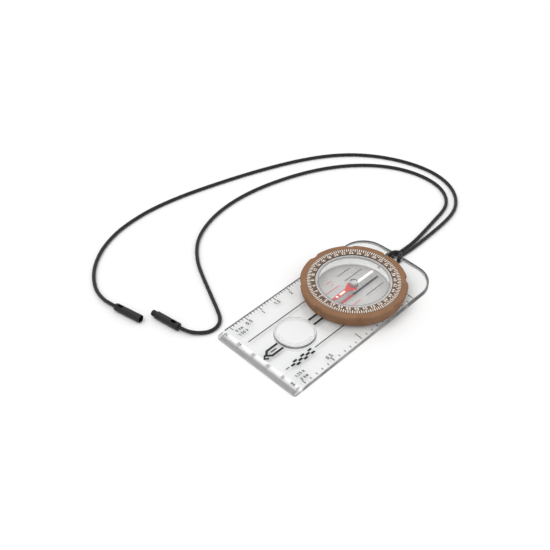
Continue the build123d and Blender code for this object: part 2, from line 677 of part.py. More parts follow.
def connector_plug():
    bore_r, nose_bore_r = 1.50, 0.9
    nose_end = PLUG_L + NOSE_L
    return connector_half([
        (0, TUBE_MOUTH_R), (0, 1.75), (0.35, TUBE_R), (PLUG_L - 0.3, TUBE_R),
        (PLUG_L, TUBE_R - 0.3), (PLUG_L, NOSE_R), (nose_end - 0.3, NOSE_R),
        (nose_end, NOSE_R - 0.3), (nose_end, nose_bore_r), (6.5, nose_bore_r),
        (5.8, bore_r), (1.4, bore_r), (1.4, TUBE_MOUTH_R),
    ], STRAND_B, PLUG_DIR)


# each piece's file is named after its function
PIECES = [
    baseplate, scale_50k_print, scale_25k_print, ruler_print, direction_arrow_print,
    guide_line_print, dial_ring, dial_grip, dial_graduations, dial_numbers, retaining_ring,
    capsule_cup, capsule_lid, fill_plug, meridian_lines_south, meridian_lines_north,
    orienting_lines_south, orienting_lines_north, pivot_pin, needle_magnet,
    needle_cover_north, needle_cover_south, needle_luminous_marks, needle_hub, jewel_bearing,
    lanyard_hitch, lanyard_strand_socket_side, lanyard_strand_plug_side,
    connector_socket, connector_plug,
]

os.makedirs("parts", exist_ok=True)
for piece in PIECES:
    export_step(piece(), f"parts/{piece.__name__}.step")
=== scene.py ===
"""A clear baseplate compass with a braided lanyard.

The plate lies flat in XY with +Z up. The needle's pivot stands at the origin, the magnifier is
towards +Y, and the lanyard is hitched round a bar at the -Y end and loops out towards +X.
"""

import math
from collections import namedtuple

import bpy
import numpy as np
from mathutils import Matrix, Vector


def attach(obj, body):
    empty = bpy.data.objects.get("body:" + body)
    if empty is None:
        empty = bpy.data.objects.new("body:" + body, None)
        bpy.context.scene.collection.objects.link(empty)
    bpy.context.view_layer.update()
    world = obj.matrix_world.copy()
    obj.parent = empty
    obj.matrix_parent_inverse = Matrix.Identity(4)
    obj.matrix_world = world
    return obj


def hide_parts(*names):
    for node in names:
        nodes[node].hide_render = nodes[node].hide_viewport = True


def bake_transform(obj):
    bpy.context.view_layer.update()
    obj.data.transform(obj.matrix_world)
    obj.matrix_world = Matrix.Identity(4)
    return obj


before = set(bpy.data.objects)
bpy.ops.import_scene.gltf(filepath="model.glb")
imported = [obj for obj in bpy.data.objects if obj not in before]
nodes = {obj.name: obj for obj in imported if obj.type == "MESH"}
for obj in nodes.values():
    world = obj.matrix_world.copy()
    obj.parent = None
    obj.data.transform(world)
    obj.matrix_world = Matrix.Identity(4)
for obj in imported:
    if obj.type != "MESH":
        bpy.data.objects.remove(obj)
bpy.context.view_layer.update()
scene = bpy.context.scene
MM = 0.001

# ---------------------------------------------------------------------------
# material helpers
# ---------------------------------------------------------------------------
LENS_Y = 0.0434                     # the magnifier's centre
CORNER_X, CORNER_Y = 0.0128, -0.0236    # centres of the plate's rounded corners at the -Y end
TO_CAMERA = (-0.617, 0.786)         # level direction towards the camera, x and y
ZONE_BLUR = 0.00015                 # half the width over which a band of painted light or shade fades

# A band of painted light or shade: low < measure < high. limit is a second band, as (measure,
# low, high); glow is painted light given off.
Zone = namedtuple("Zone", "measure low high milk colour limit glow", defaults=(None, 0.0))


def grey(level):
    return (level, level, level)


def scaled(rgb, factor, lift=0.0):
    """The colour made lighter or darker, kept at or below 1."""
    return tuple(min(1, c * factor + lift) for c in rgb)


class Mat:
    """A node material, built with short calls. Noise scales are per metre."""

    def __init__(self, name):
        self.material = bpy.data.materials.new(name)
        self.material.use_nodes = True
        self.tree = self.material.node_tree
        self.tree.nodes.clear()
        self.output = self.add("ShaderNodeOutputMaterial")
        self.coords = self.add("ShaderNodeTexCoord")

    def add(self, kind, props=None, **inputs):
        """A new node. Inputs are named with underscores for spaces."""
        node = self.tree.nodes.new(kind)
        for key, value in (props or {}).items():
            setattr(node, key, value)
        for key, value in inputs.items():
            self.set(node, key.replace("_", " "), value)
        return node

    def set(self, node, key, value):
        """Link a socket or a node's first output to an input, or set the input's value."""
        socket = node.inputs[key]
        if isinstance(value, bpy.types.NodeSocket):
            self.tree.links.new(value, socket)
        elif isinstance(value, bpy.types.Node):
            self.tree.links.new(value.outputs[0], socket)
        else:
            if socket.type == "RGBA" and len(value) == 3:
                value = (*value, 1.0)
            socket.default_value = value

    def noise(self, scale, detail=3.0, rough=0.5, stretch=(1, 1, 1), seed=0.0):
        mapping = self.add("ShaderNodeMapping", Vector=self.coords.outputs["Object"],
                           Scale=stretch, Location=(seed, seed * 0.37, seed * 0.71))
        texture = self.add("ShaderNodeTexNoise", Vector=mapping, Scale=scale, Detail=detail,
                           Roughness=rough)
        return texture.outputs["Fac"]

    def threshold(self, value, start, full, amount):
        """Nothing up to start, then a rise to amount at full."""
        ramp = self.add("ShaderNodeValToRGB", Fac=value)
        elements = ramp.color_ramp.elements
        elements.new(0.5)
        for i, (position, level) in enumerate(((0.0, 0.0), (start, 0.0), (full, amount))):
            elements[i].position = position
            elements[i].color = (*grey(level), 1)
        return ramp.outputs["Color"]

    def remap(self, value, source=(0.0, 1.0), to=(0.0, 1.0)):
        node = self.add("ShaderNodeMapRange", Value=value, From_Min=source[0],
                        From_Max=source[1], To_Min=to[0], To_Max=to[1])
        return node.outputs["Result"]

    def calc(self, operation, a, b=0.0):
        node = self.add("ShaderNodeMath", {"operation": operation})
        self.set(node, 0, a)
        self.set(node, 1, b)
        return node.outputs[0]

    def times(self, a, b):
        return self.calc("MULTIPLY", a, b)

    def length(self, a, b):
        return self.calc("SQRT", self.calc("ADD", self.times(a, a), self.times(b, b)))

    def xyz(self, vector=None):
        """The X, Y and Z outputs of a vector, by default the place on the object."""
        if vector is None:
            vector = self.coords.outputs["Object"]
        return self.add("ShaderNodeSeparateXYZ", Vector=vector).outputs

    def mix(self, factor, a, b):
        node = self.add("ShaderNodeMix", {"data_type": "RGBA"})
        for key, value in ((0, factor), (6, a), (7, b)):
            self.set(node, key, value)
        return node.outputs[2]

    def mix_shader(self, factor, a, b):
        node = self.add("ShaderNodeMixShader")
        for key, value in enumerate((factor, a, b)):
            self.set(node, key, value)
        return node.outputs[0]

    def bump(self, height, distance, strength=1.0, normal=None):
        node = self.add("ShaderNodeBump", Height=height, Distance=distance, Strength=strength)
        if normal is not None:
            self.set(node, "Normal", normal)
        return node.outputs[0]

    def soft_edge(self, radius):
        return self.add("ShaderNodeBevel", {"samples": 6}, Radius=radius).outputs[0]

    def principled(self, **inputs):
        return self.add("ShaderNodeBsdfPrincipled", **inputs)

    def finish(self, shader):
        self.set(self.output, "Surface", shader)
        return self.material


# ---------------------------------------------------------------------------
# clear plastic, with painted bands of light and shade
# ---------------------------------------------------------------------------


def frosted_and_shaded_sides(mat, shader, geometry, side, side_frost_and_shade, normal):
    """Paint the sawn upright faces grey from outside, partly their frosted finish and partly
    painted shade, and nearly black where seen through the plate, a painted dark reflection.
    """
    backfacing = geometry.outputs["Backfacing"]
    patch = mat.remap(mat.noise(scale=85, rough=0.55, seed=9.0), source=(0.38, 0.62))
    place = mat.xyz()
    lens_distance = mat.length(place["X"], mat.calc("SUBTRACT", place["Y"], LENS_Y))
    # the magnifier's wall is polished
    side = mat.times(side, mat.remap(lens_distance, source=(0.0112, 0.0118), to=(0.28, 1.0)))
    # from outside: grey patches, partly frosted finish and partly painted shade
    near = mat.mix(patch, scaled(side_frost_and_shade, 0.45), side_frost_and_shade)
    # painted dark reflection: the upright faces seen from inside the plate
    far = mat.mix(patch, grey(0.012), (0.045, 0.045, 0.044))
    body = mat.principled(Base_Color=mat.mix(backfacing, near, far), Roughness=0.5, Normal=normal)
    cover = mat.calc("MAXIMUM", mat.remap(patch, to=(0.62, 0.90)), mat.times(backfacing, 0.96))
    return mat.mix_shader(mat.times(side, cover), shader, body)


def zone_measure(mat, place, measure):
    """The quantity a zone's limits apply to, in metres."""
    x, y = place["X"], place["Y"]
    if measure == "r":              # distance from the pivot
        return mat.length(x, y)
    if measure == "lens":           # distance from the magnifier's centre
        return mat.length(x, mat.calc("SUBTRACT", y, LENS_Y))
    if measure == "outline":        # distance from the corner centres: 14 mm on the outline
        beyond_x = mat.calc("SUBTRACT", mat.calc("ABSOLUTE", x), CORNER_X)
        beyond_y = mat.calc("SUBTRACT", CORNER_Y, y)
        return mat.length(mat.calc("MAXIMUM", beyond_x), mat.calc("MAXIMUM", beyond_y))
    if measure == "front":          # distance from the pivot towards the camera
        return mat.calc("SUBTRACT", mat.times(y, TO_CAMERA[1]), mat.times(x, -TO_CAMERA[0]))
    return place[measure.upper()]


def band(mat, value, low, high):
    """1 between low and high, 0 outside."""
    above = mat.remap(value, source=(low - ZONE_BLUR, low + ZONE_BLUR))
    below = mat.remap(value, source=(high - ZONE_BLUR, high + ZONE_BLUR), to=(1.0, 0.0))
    return mat.times(above, below)


# Mix a band of painted light or shade over the clear plastic, patchy with noise; a glow makes it
# give off painted light.
def painted_light_zone(mat, shader, zone, normal):
    place = mat.xyz()
    inside = band(mat, zone_measure(mat, place, zone.measure), zone.low, zone.high)
    if zone.limit:
        measure, low, high = zone.limit
        inside = mat.times(inside, band(mat, zone_measure(mat, place, measure), low, high))
    paint_patchiness = mat.remap(mat.noise(scale=260, seed=12.0), source=(0.3, 0.7), to=(0.85, 1.0))
    body = mat.principled(Base_Color=zone.colour, Roughness=0.35, Normal=normal,
                          Specular_IOR_Level=0.4)
    if zone.glow:
        mat.set(body, "Emission Color", zone.colour)
        mat.set(body, "Emission Strength", zone.glow)
    return mat.mix_shader(mat.times(mat.times(inside, zone.milk), paint_patchiness), shader, body)


def clear_plastic(name, tint, rough, edge, ior=1.49, side_frost_and_shade=None, zones=(), scratch=0.35):
    """Clear moulded plastic. Given a side colour, the upright faces are painted grey, partly
    frosting and partly painted shade; zones add bands of painted light and shade.

    Shadow and diffuse rays pass straight through, so no false dark caustics form.
    """
    mat = Mat(name)
    fine = mat.noise(scale=900, detail=4, rough=0.6)
    streaks = mat.noise(scale=2600, detail=2, stretch=(1, 0.04, 1), seed=3.1)
    worn = mat.threshold(streaks, start=0.62, full=0.74, amount=1.0)
    roughness = mat.calc("ADD", mat.remap(fine, to=(rough * 0.4, rough * 2.2)),
                         mat.times(worn, scratch * 0.05))
    normal = mat.bump(mat.noise(scale=160, detail=2, rough=0.4, seed=1.7),
                      distance=0.00003, strength=0.25, normal=mat.soft_edge(edge))
    if side_frost_and_shade is not None:
        geometry = mat.add("ShaderNodeNewGeometry")
        upward = mat.calc("ABSOLUTE", mat.xyz(geometry.outputs["True Normal"])["Z"])
        side = mat.remap(upward, source=(0.15, 0.75), to=(1.0, 0.0))
        side_roughness = 0.10
        roughness = mat.calc("ADD", roughness, mat.times(side, side_roughness))
    shader = mat.add("ShaderNodeBsdfGlass", Color=tint, Roughness=roughness, IOR=ior,
                     Normal=normal)
    if side_frost_and_shade is not None:
        shader = frosted_and_shaded_sides(mat, shader, geometry, side, side_frost_and_shade, normal)
    # bands of painted light and shade
    for zone in zones:
        shader = painted_light_zone(mat, shader, zone, normal)
    through = mat.add("ShaderNodeBsdfTransparent", Color=scaled(tint, factor=0.985))
    path = mat.add("ShaderNodeLightPath").outputs
    straight = mat.calc("MAXIMUM", path["Is Shadow Ray"], path["Is Diffuse Ray"])
    return mat.finish(mat.mix_shader(straight, shader, through))


# ---------------------------------------------------------------------------
# opaque materials
# ---------------------------------------------------------------------------


def moulded(name, rgb, rough, grain, grain_depth, vary=0.10, edge=0.00010, spec=0.4, dust=0.0):
    """Moulded plastic or rubber: fine texture, slow colour drift, rubbed edges, a little dust."""
    mat = Mat(name)
    slow = mat.noise(scale=120)
    medium = mat.noise(scale=1400, detail=4, rough=0.6, seed=2.0)
    fine = mat.noise(scale=grain, rough=0.6, seed=5.0)
    colour = mat.mix(mat.remap(slow, source=(0.3, 0.7)),
                     scaled(rgb, factor=1 - vary), scaled(rgb, factor=1 + vary))
    colour = mat.mix(mat.remap(medium, source=(0.45, 0.75), to=(0.0, 0.30)),
                     colour, scaled(rgb, factor=1.25, lift=0.01))
    pointiness = mat.add("ShaderNodeNewGeometry").outputs["Pointiness"]
    colour = mat.mix(mat.threshold(pointiness, start=0.53, full=0.60, amount=0.35),
                     colour, scaled(rgb, factor=1.6, lift=0.03))
    if dust > 0:
        specks = mat.noise(scale=5200, detail=2, seed=8.0)
        colour = mat.mix(mat.threshold(specks, start=0.70, full=0.78, amount=dust),
                         colour, (0.6, 0.58, 0.55))
    return mat.finish(mat.principled(
        Base_Color=colour,
        Roughness=mat.remap(medium, source=(0.3, 0.7), to=(rough - 0.07, rough + 0.09)),
        Normal=mat.bump(fine, distance=grain_depth, strength=0.6, normal=mat.soft_edge(edge)),
        Specular_IOR_Level=spec))


def printed(name, rgb, wear, thin):
    """Screen print: nearly flat colour, uneven density, and pinholes of the thin colour."""
    mat = Mat(name)
    fine = mat.noise(scale=3800, rough=0.55, seed=4.0)
    density = mat.remap(mat.noise(scale=700, detail=2), source=(0.35, 0.7), to=(0.0, 0.35))
    colour = mat.mix(density, rgb, scaled(rgb, factor=0.82, lift=0.015))
    colour = mat.mix(mat.threshold(fine, start=0.66, full=0.74, amount=wear), colour, thin)
    return mat.finish(mat.principled(
        Base_Color=colour,
        Roughness=mat.remap(fine, source=(0.3, 0.7), to=(0.35, 0.60)),
        Normal=mat.bump(mat.noise(scale=9000, detail=2), distance=0.000008, strength=0.5),
        Specular_IOR_Level=0.3))


def metal(name, rgb, rough, stretch=(1, 1, 40)):
    """Bare metal with fine marks drawn out by the stretch."""
    mat = Mat(name)
    marks = mat.noise(scale=2500, detail=4, rough=0.6, stretch=stretch)
    return mat.finish(mat.principled(
        Base_Color=mat.mix(mat.remap(marks, source=(0.3, 0.7)), scaled(rgb, factor=0.85), rgb),
        Metallic=1.0,
        Roughness=mat.remap(marks, source=(0.3, 0.7), to=(rough * 0.7, rough * 1.5)),
        Normal=mat.bump(marks, distance=0.000004, strength=0.5, normal=mat.soft_edge(0.00005))))


def cord_fabric(name):
    """Black braid with a faint sheen; its colour is painted darkest between the yarns as shade
    and lighter on the yarns' crowns.
    """
    mat = Mat(name)
    fibre = mat.noise(scale=16000, rough=0.6)
    crown = mat.add("ShaderNodeAttribute", {"attribute_name": "crown"}).outputs["Fac"]
    yarn = mat.mix(mat.remap(fibre, source=(0.25, 0.75)),
                   (0.011, 0.011, 0.012), (0.034, 0.034, 0.036))
    # painted shade: the colour falls to near black in the gaps between the yarns
    colour = mat.mix(mat.remap(crown, source=(0.15, 0.95)), grey(0.004), yarn)
    fuzz = mat.threshold(mat.noise(scale=5200, detail=2, rough=0.6, seed=6.0),
                         start=0.64, full=0.76, amount=0.5)
    return mat.finish(mat.principled(
        Base_Color=mat.mix(fuzz, colour, (0.075, 0.075, 0.078)),
        Roughness=mat.remap(fibre, to=(0.62, 0.85)),
        Normal=mat.bump(fibre, distance=0.00003, strength=0.7),
        Specular_IOR_Level=0.25, Sheen_Weight=0.35, Sheen_Roughness=0.4))


# ---------------------------------------------------------------------------
# materials of the pieces
# ---------------------------------------------------------------------------
EVERY_HEIGHT = ("z", -1.0, 1.0)
PLATE = clear_plastic(
    "m_plate_acrylic", tint=(0.972, 0.974, 0.973), rough=0.010, edge=0.00022,
    side_frost_and_shade=(0.36, 0.36, 0.355),
    # painted highlight: a bright strip along the ridge of the front bevel
    zones=(Zone("y", 0.0661, 0.0675, milk=0.55, colour=grey(0.95)),
           # painted shade: grey bands over the front bevel
           Zone("y", 0.0680, 0.0700, milk=0.42, colour=grey(0.42)),
           Zone("y", 0.0700, 0.0720, milk=0.45, colour=grey(0.44)),
           # painted dark reflection along the far rounded edges
           Zone("outline", 0.0134, 0.0160, milk=0.72, colour=grey(0.050),
                limit=("y", -0.060, -0.012)),
           # painted shade: two dark rings at the magnifier's rim
           Zone("lens", 0.01025, 0.01080, milk=0.36, colour=grey(0.20)),
           Zone("lens", 0.00945, 0.00980, milk=0.36, colour=grey(0.26)),
           # painted shade: a grey crescent inside the magnifier's rim on the side towards the
           # camera
           Zone("lens", 0.00780, 0.00935, milk=0.30, colour=grey(0.52),
                limit=("front", 0.0365, 0.0600))))
CUP = clear_plastic(
    "m_capsule_acrylic", tint=(0.985, 0.985, 0.983), rough=0.012, edge=0.00010, scratch=0.0,
    # capsule floor: a grey diffuse layer on which the needle's shadow falls, with a faint painted
    # glow lifting the shade
    zones=(Zone("z", 0.0005, 0.0027, milk=0.55, colour=(0.47, 0.455, 0.45),
                limit=EVERY_HEIGHT, glow=0.08),
           # painted highlight: a bright band on the capsule wall, with a painted glow
           Zone("z", 0.0027, 0.0070, milk=0.85, colour=(0.93, 0.93, 0.92),
                limit=EVERY_HEIGHT, glow=0.22),
           # painted shade: a dark grey band at the top of the capsule wall
           Zone("z", 0.0072, 0.0095, milk=0.70, colour=(0.36, 0.34, 0.33))))
LID = clear_plastic(
    "m_lid_acrylic", tint=(0.985, 0.988, 0.988), rough=0.008, edge=0.00015,
    # painted shade: a grey band over the lid's rim
    zones=(Zone("r", 0.0183, 0.0215, milk=0.50, colour=(0.34, 0.33, 0.325)),
           # painted shade: a dark line at the band's inner edge
           Zone("r", 0.0181, 0.0184, milk=0.45, colour=grey(0.10)),
           # painted highlight: a bright line in the band
           Zone("r", 0.0193, 0.0195, milk=0.60, colour=grey(0.85))))
HUB = clear_plastic(
    "m_hub_acrylic", tint=(0.97, 0.97, 0.96), rough=0.03, edge=0.00008,
    # painted highlight on the hub's top
    zones=(Zone("z", 0.0072, 0.010, milk=0.45, colour=(0.90, 0.90, 0.89)),
           # painted shade: a grey band on the hub below
           Zone("z", 0.0050, 0.0070, milk=0.42, colour=grey(0.16)),
           # painted shade: a dark arc on the hub's side towards the camera
           Zone("r", 0.00125, 0.00260, milk=1.00, colour=grey(0.006),
                limit=("front", -0.0040, -0.0004))))
INK = printed("m_ink_black", grey(0.010), wear=0.15, thin=grey(0.12))
INK_RED = printed("m_ink_red", (0.60, 0.030, 0.050), wear=0.15, thin=(0.75, 0.4, 0.4))
INK_CREAM = printed("m_ink_cream", (0.86, 0.76, 0.66), wear=0.3, thin=(0.45, 0.36, 0.28))
RING = moulded("m_dial_plastic", (0.095, 0.060, 0.043), rough=0.50, grain=12000,
               grain_depth=0.00001, spec=0.25)
GRIP = moulded("m_grip_rubber", (0.222, 0.115, 0.060), rough=0.62, grain=11000,
               grain_depth=0.000025, spec=0.25, dust=0.10)
BLACK = moulded("m_black_plastic", (0.0065, 0.0065, 0.0068), rough=0.46, grain=9000,
                grain_depth=0.00002, spec=0.32, dust=0.03)
BRASS = metal("m_brass", (0.72, 0.56, 0.30), rough=0.3)
STEEL = metal("m_pin_steel", (0.62, 0.62, 0.63), rough=0.18)
MAGNET = metal("m_magnet_steel", (0.30, 0.30, 0.32), rough=0.38, stretch=(1, 0.02, 1))
GLOSSY = dict(rough=0.30, grain=7000, grain_depth=0.000006, edge=0.00006)   # both needle covers
RED = moulded("m_needle_red", (0.50, 0.010, 0.012), vary=0.05, **GLOSSY)
WHITE = moulded("m_needle_white", (0.88, 0.88, 0.87), vary=0.03, **GLOSSY)
LUMINOUS = moulded("m_luminous_paint", (0.90, 0.82, 0.66), rough=0.75, vary=0.05, grain=15000,
                   grain_depth=0.00003, edge=0.00003)
JEWEL = clear_plastic("m_jewel", tint=(0.92, 0.60, 0.66), rough=0.02, ior=1.76, edge=0.00003)
CORD = cord_fabric("m_cord_braid")

PIECE_MATERIALS = {
    "baseplate": PLATE, "scale_50k_print": INK, "scale_25k_print": INK, "ruler_print": INK,
    "direction_arrow_print": INK, "guide_line_print": INK, "dial_ring": RING,
    "dial_grip": GRIP, "dial_graduations": INK_CREAM, "dial_numbers": INK_CREAM,
    "retaining_ring": BLACK, "capsule_cup": CUP, "capsule_lid": LID, "fill_plug": BRASS,
    "meridian_lines_north": INK_RED, "meridian_lines_south": INK,
    "orienting_lines_north": INK_RED, "orienting_lines_south": INK,
    "pivot_pin": STEEL, "needle_magnet": MAGNET, "needle_cover_north": RED,
    "needle_cover_south": WHITE, "needle_luminous_marks": LUMINOUS, "needle_hub": HUB,
    "jewel_bearing": JEWEL, "connector_socket": BLACK, "connector_plug": BLACK,
    "lanyard_hitch": CORD, "lanyard_strand_socket_side": CORD, "lanyard_strand_plug_side": CORD,
}
for piece_name, material in PIECE_MATERIALS.items():
    piece = nodes[piece_name]
    if not piece.material_slots:
        piece.data.materials.append(material)
    for slot in piece.material_slots:
        slot.material = material

# ---------------------------------------------------------------------------
# mesh helpers
# ---------------------------------------------------------------------------


def mesh_object(name, verts_mm, faces, material, smooth=True):
    mesh = bpy.data.meshes.new(name)
    mesh.from_pydata([tuple(float(c) * MM for c in v) for v in verts_mm], [],
                     [tuple(int(i) for i in f) for f in faces])
    mesh.materials.append(material)
    if smooth:
        mesh.polygons.foreach_set("use_smooth", [True] * len(mesh.polygons))
    mesh.update()
    obj = bpy.data.objects.new(name, mesh)
    scene.collection.objects.link(obj)
    return obj


def grid_faces(rows, cols, wrap_rows=False, flip=False):
    """Quads between rings of cols points each. The last ring joins the first if wrap_rows."""
    row, col = np.meshgrid(np.arange(rows if wrap_rows else rows - 1), np.arange(cols),
                           indexing="ij")
    next_row, next_col = (row + 1) % rows, (col + 1) % cols
    faces = np.stack([row * cols + col, row * cols + next_col,
                      next_row * cols + next_col, next_row * cols + col], -1).reshape(-1, 4)
    return faces[:, ::-1] if flip else faces


def smoothstep(x, low, high):
    t = np.clip((x - low) / (high - low), 0, 1)
    return t * t * (3 - 2 * t)


# ---------------------------------------------------------------------------
# grip: eight moulded pads round the dial, with a fine dotted texture
# ---------------------------------------------------------------------------
PADS = 8
PAD_SPACING = 360.0 / PADS          # degrees
FIRST_PAD = 23.5                    # degrees, the centre of the first pad
PAD_HALF = 15.5                     # degrees
GRIP_STEPS = 1920                   # points round the dial
BORE_R = 24.42
FOOT_R = 26.70                      # outer radius at the bottom
ROOT_R = 26.95                      # outer radius at the top, between the pads
CREST_R = 27.85                     # outer radius at the top of a pad
GRIP_BOTTOM = 2.95
LOWER_ROUND, UPPER_ROUND = 0.45, 1.05   # edge radii
SIDE_LOW, SIDE_HIGH = GRIP_BOTTOM + LOWER_ROUND, 8.55
UPPER_ROUND_Z = 8.60                # height where the upper edge's rounding starts
GRIP_TOP = UPPER_ROUND_Z + UPPER_ROUND
TOP_INNER_R = 24.62
DOT_PITCH, DOT_ROW_PITCH = 0.75, 0.65   # along a row, and between staggered rows
DOT_ROWS, FIRST_ROW_Z = 7, 4.2
DOT_R, DOT_HEIGHT = 0.27, 0.075
DOT_ARC_R = 27.6                    # radius at which the pitch along a row is measured


def grip_dots(offset, z):
    """Height of the dots at height z, offset degrees from a pad's centre."""
    row = (z - FIRST_ROW_Z) / DOT_ROW_PITCH
    nearest = round(row)
    across = (row - nearest) * DOT_ROW_PITCH
    half = DOT_PITCH / 2
    arc = np.radians(offset) * DOT_ARC_R
    along = (arc + half * (nearest % 2) + half) % DOT_PITCH - half
    dot = np.clip(1 - (along ** 2 + across ** 2) / DOT_R ** 2, 0, 1)
    # the dots fade out before the pad's ends
    field = 1 - smoothstep(np.abs(offset), PAD_HALF - 1.6, PAD_HALF - 0.6)
    return DOT_HEIGHT * np.sqrt(dot) * field * (0 <= nearest < DOT_ROWS)


def grip_section(offset):
    """Radius and height of each ring, outwards from the inner bottom edge and round."""
    pad = 1 - smoothstep(np.abs(offset), PAD_HALF + 0.3, PAD_HALF + 5.6)
    top_r = ROOT_R + (CREST_R - ROOT_R) * pad
    rings = [(r, GRIP_BOTTOM) for r in np.linspace(BORE_R, 25.9, 5)]
    for a in np.radians(np.linspace(0, 90, 7)[1:]):
        rings.append((FOOT_R - LOWER_ROUND + LOWER_ROUND * math.sin(a),
                      GRIP_BOTTOM + LOWER_ROUND - LOWER_ROUND * math.cos(a)))
    for z in np.linspace(3.48, SIDE_HIGH, 58):
        rise = np.clip((z - SIDE_LOW) / (SIDE_HIGH - SIDE_LOW), 0, 1) ** 0.85
        rings.append((FOOT_R + (top_r - FOOT_R) * rise + grip_dots(offset, z), z))
    flat_r = top_r - UPPER_ROUND
    for a in np.radians(np.linspace(0, 90, 12)[1:]):
        rings.append((flat_r + UPPER_ROUND * math.cos(a),
                      UPPER_ROUND_Z + UPPER_ROUND * math.sin(a)))
    for t in np.linspace(0, 1, 8)[1:]:              # slightly domed top
        rings.append((flat_r + (TOP_INNER_R - flat_r) * t,
                      GRIP_TOP + 0.05 * math.sin(math.pi * min(t * 1.1, 1))))
    rings += [(24.47, 9.66), (BORE_R, 9.60)]        # inner lip
    rings += [(BORE_R, z) for z in np.linspace(9.4, 3.1, 4)]
    return rings


def build_grip():
    degrees = np.arange(GRIP_STEPS) * 360.0 / GRIP_STEPS
    # degrees from the nearest pad's centre
    offset = (degrees - FIRST_PAD + PAD_SPACING / 2) % PAD_SPACING - PAD_SPACING / 2
    cos, sin = np.cos(np.radians(degrees)), np.sin(np.radians(degrees))
    rings = grip_section(offset)
    verts = [np.stack([r * cos, r * sin, np.full(GRIP_STEPS, z)], 1) for r, z in rings]
    faces = grid_faces(len(rings), GRIP_STEPS, wrap_rows=True)
    return mesh_object("grip_pads", np.concatenate(verts), faces, GRIP)


grip = build_grip()
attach(grip, "dial")
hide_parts("dial_grip")

# ---------------------------------------------------------------------------
# cord: one braided line from the socket, through the hitch, to the plug
# ---------------------------------------------------------------------------
CORD_R = 1.00
CORD_STEP = 0.2                     # between rings
AROUND = 36                         # points in a ring
CARRIERS = 6                        # yarns wound each way
BRAID_PITCH = 1.15                  # length of cord per crossing
BRAID_SINK, BRAID_HEIGHT = 0.085, 0.10  # gaps' depth below the cord's radius, crowns' rise
ROOT_Y = -45                        # the hitch ends and the necks begin here
CUT_Y = -76                         # the necks end here, beyond the bend

# centre line from the hitch to the socket: x, y, z
SOCKET_STRAND = [
    (0.45, -40.60, 1.02), (0.12, -44.00, 1.02), (-0.11, -48.40, 1.02), (-0.17, -53.35, 1.02),
    (0.19, -64.34, 1.02), (1.12, -79.81, 1.02), (4.54, -94.87, 1.02), (14.06, -106.87, 1.02),
    (28.02, -113.34, 1.02), (43.43, -113.80, 1.02), (58.39, -109.86, 1.02),
    (72.19, -102.87, 1.02), (84.26, -93.19, 1.02), (94.07, -81.22, 1.02), (101.79, -67.79, 1.02),
    (108.05, -53.62, 1.02), (113.44, -39.09, 1.02), (118.16, -24.32, 1.02), (122.36, -9.41, 1.02),
    (126.03, 5.65, 1.02), (128.63, 20.93, 1.02), (129.47, 36.39, 1.02), (127.88, 51.79, 1.02),
    (125.79, 59.79, 1.02), (122.89, 67.08, 1.02), (119.04, 73.93, 1.02), (114.28, 80.16, 1.02),
    (108.65, 85.64, 1.02), (102.21, 90.11, 1.02), (95.04, 93.27, 1.10), (87.34, 94.62, 1.72),
    (83.85, 94.51, 1.98), (80.87, 94.14, 2.08), (78.90, 93.80, 2.10), (75.96, 93.20, 2.10),
]
# from the hitch to the plug: x, y, z
PLUG_STRAND = [
    (2.70, -40.60, 1.02), (2.58, -44.00, 1.02), (2.50, -48.40, 1.02), (2.61, -53.35, 1.02),
    (3.96, -64.26, 1.02), (6.45, -79.56, 1.02), (10.51, -94.47, 1.02), (21.89, -104.44, 1.02),
    (37.12, -106.64, 1.02), (52.13, -103.10, 1.02), (65.41, -95.20, 1.02), (76.43, -84.34, 1.02),
    (85.14, -71.54, 1.02), (91.70, -57.51, 1.02), (96.49, -42.78, 1.02), (99.71, -27.63, 1.02),
    (100.92, -12.19, 1.02), (99.57, 3.23, 1.02), (95.13, 18.05, 1.02), (87.00, 31.17, 1.02),
    (75.17, 41.09, 1.02), (67.79, 45.26, 1.02), (60.74, 48.73, 1.02), (53.64, 52.10, 1.02),
    (46.54, 55.46, 1.02), (39.48, 58.90, 1.02), (33.22, 63.55, 1.02), (32.05, 71.01, 1.02),
    (36.54, 77.32, 1.48), (39.41, 79.25, 1.91), (42.24, 80.21, 2.07), (44.20, 80.60, 2.10),
    (47.17, 81.04, 2.10),
]
# under the bar, up through the slot, over the bar in a loop, and back down: x, y, z
HITCH = [
    (0.30, -39.30, 0.80), (-0.20, -38.30, 0.68), (-0.90, -36.90, 0.66), (-1.50, -35.75, 0.72),
    (-1.84, -34.98, 1.35), (-1.90, -34.88, 2.40), (-1.72, -35.40, 3.30), (-1.38, -36.50, 3.56),
    (-0.90, -37.60, 3.58), (-0.10, -38.62, 3.42), (1.05, -39.10, 3.32), (2.25, -38.70, 3.40),
    (3.05, -37.75, 3.56), (3.55, -36.60, 3.60), (3.82, -35.45, 3.34), (3.92, -34.75, 2.50),
    (3.80, -34.80, 1.40), (3.50, -35.60, 0.74), (3.20, -36.90, 0.66), (2.95, -38.30, 0.68),
    (2.80, -39.35, 0.80),
]


